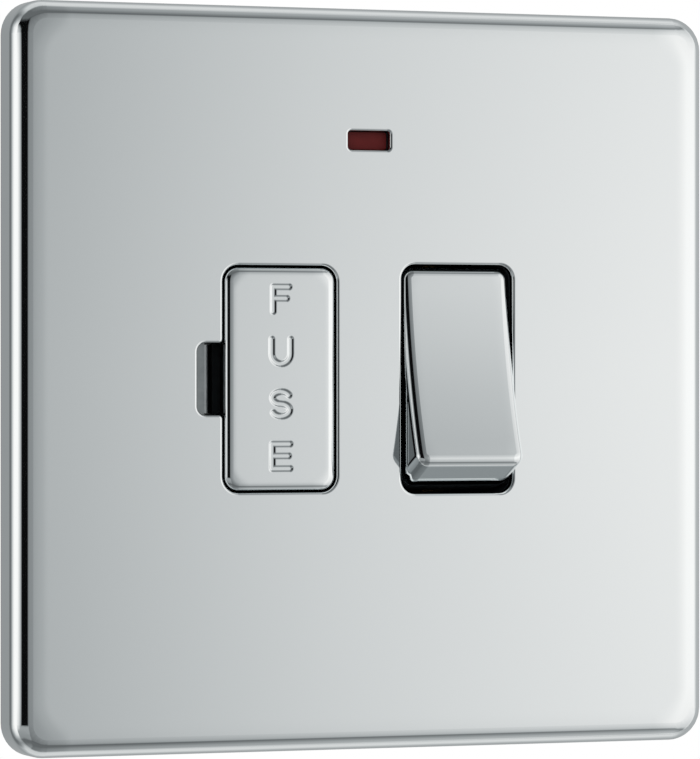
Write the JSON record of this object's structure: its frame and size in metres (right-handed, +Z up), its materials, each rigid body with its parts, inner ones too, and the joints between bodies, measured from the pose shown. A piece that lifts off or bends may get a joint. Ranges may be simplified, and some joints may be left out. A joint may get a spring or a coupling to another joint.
{
  "type": "fused spur unit",
  "caption": "Square flush wiring accessory: polished clip-on plate, rocker switch, pull-out fuse carrier with lever notch, neon lamp, and rear housing with wire terminals.",
  "frame": {"origin": "middle of the front plate, in the wall plane that the plate's back edge lies on", "axes": "+Y into the wall, -Y the front, +Z up, +X to the right as seen from the front"},
  "size_m": [0.095, 0.0342, 0.095],
  "materials": {
    "polished_chrome": "polished",
    "black_moulding": "satin",
    "brass": "satin",
    "copper_alloy": "satin",
    "silver": "satin",
    "nickel_plate": "satin",
    "zinc_plated_steel": "satin",
    "spring_steel": "satin",
    "nylon": "satin",
    "fuse_ceramic": "matt",
    "red_lens": "translucent",
    "lamp_glass": "clear",
    "resistor_lacquer": "lacquered",
    "tinned_wire": "drawn"
  },
  "bodies": {
    "base": {"mounting_frame": "black_moulding", "rear_housing": "black_moulding", "housing_screws": "zinc_plated_steel", "terminal_screws": "zinc_plated_steel", "earth_strap": "brass", "earth_leaf": "nickel_plate", "upper_fuse_clip": "nickel_plate", "lower_fuse_clip": "nickel_plate", "fixed_contact_rivets": "silver", "neon_lens": "red_lens", "neon_lamp": "lamp_glass", "neon_resistor": "resistor_lacquer", "neon_leads": "tinned_wire", "live_supply_strip": "brass", "live_link_strip": "brass", "live_load_strip": "brass", "neutral_supply_strip": "brass", "neutral_load_strip": "brass", "earth_supply_terminal": "brass", "live_supply_terminal": "brass", "neutral_supply_terminal": "brass", "earth_load_terminal": "brass", "live_load_terminal": "brass", "neutral_load_terminal": "brass"},
    "plate": {"front_plate": "polished_chrome"},
    "rocker": {"rocker_cap": "polished_chrome", "rocker_dolly": "black_moulding", "plungers": "nylon", "plunger_springs": "spring_steel"},
    "carrier": {"fuse_cover": "polished_chrome", "fuse_carrier": "black_moulding", "fuse_tube": "fuse_ceramic", "fuse_caps": "nickel_plate"},
    "live_contact": {"live_moving_contact": "copper_alloy", "live_moving_rivet": "silver"},
    "neutral_contact": {"neutral_moving_contact": "copper_alloy", "neutral_moving_rivet": "silver"}
  },
  "joints": [
    {"name": "rocker_swing", "type": "hinge", "parent": "base", "child": "rocker", "pos_m": [0.0122, -0.0006, 0], "axis": [1, 0, 0], "range_deg": [0, 26]},
    {"name": "live_contact_tip", "type": "hinge", "parent": "base", "child": "live_contact", "pos_m": [0.0082, 0.00995, 0], "axis": [1, 0, 0], "range_deg": [-26, 0]},
    {"name": "neutral_contact_tip", "type": "hinge", "parent": "base", "child": "neutral_contact", "pos_m": [0.0162, 0.00995, 0], "axis": [1, 0, 0], "range_deg": [-26, 0]},
    {"name": "fuse_carrier_pull", "type": "slide", "parent": "base", "child": "carrier", "axis": [0, -1, 0], "range_m": [0, 0.02]},
    {"name": "plate_unclip", "type": "slide", "parent": "base", "child": "plate", "axis": [0, -1, 0], "range_m": [0, 0.03]}
  ],
  "couplings": [
    {"joint": "live_contact_tip", "follows": "rocker_swing", "ratio": -1},
    {"joint": "neutral_contact_tip", "follows": "rocker_swing", "ratio": -1}
  ]
}
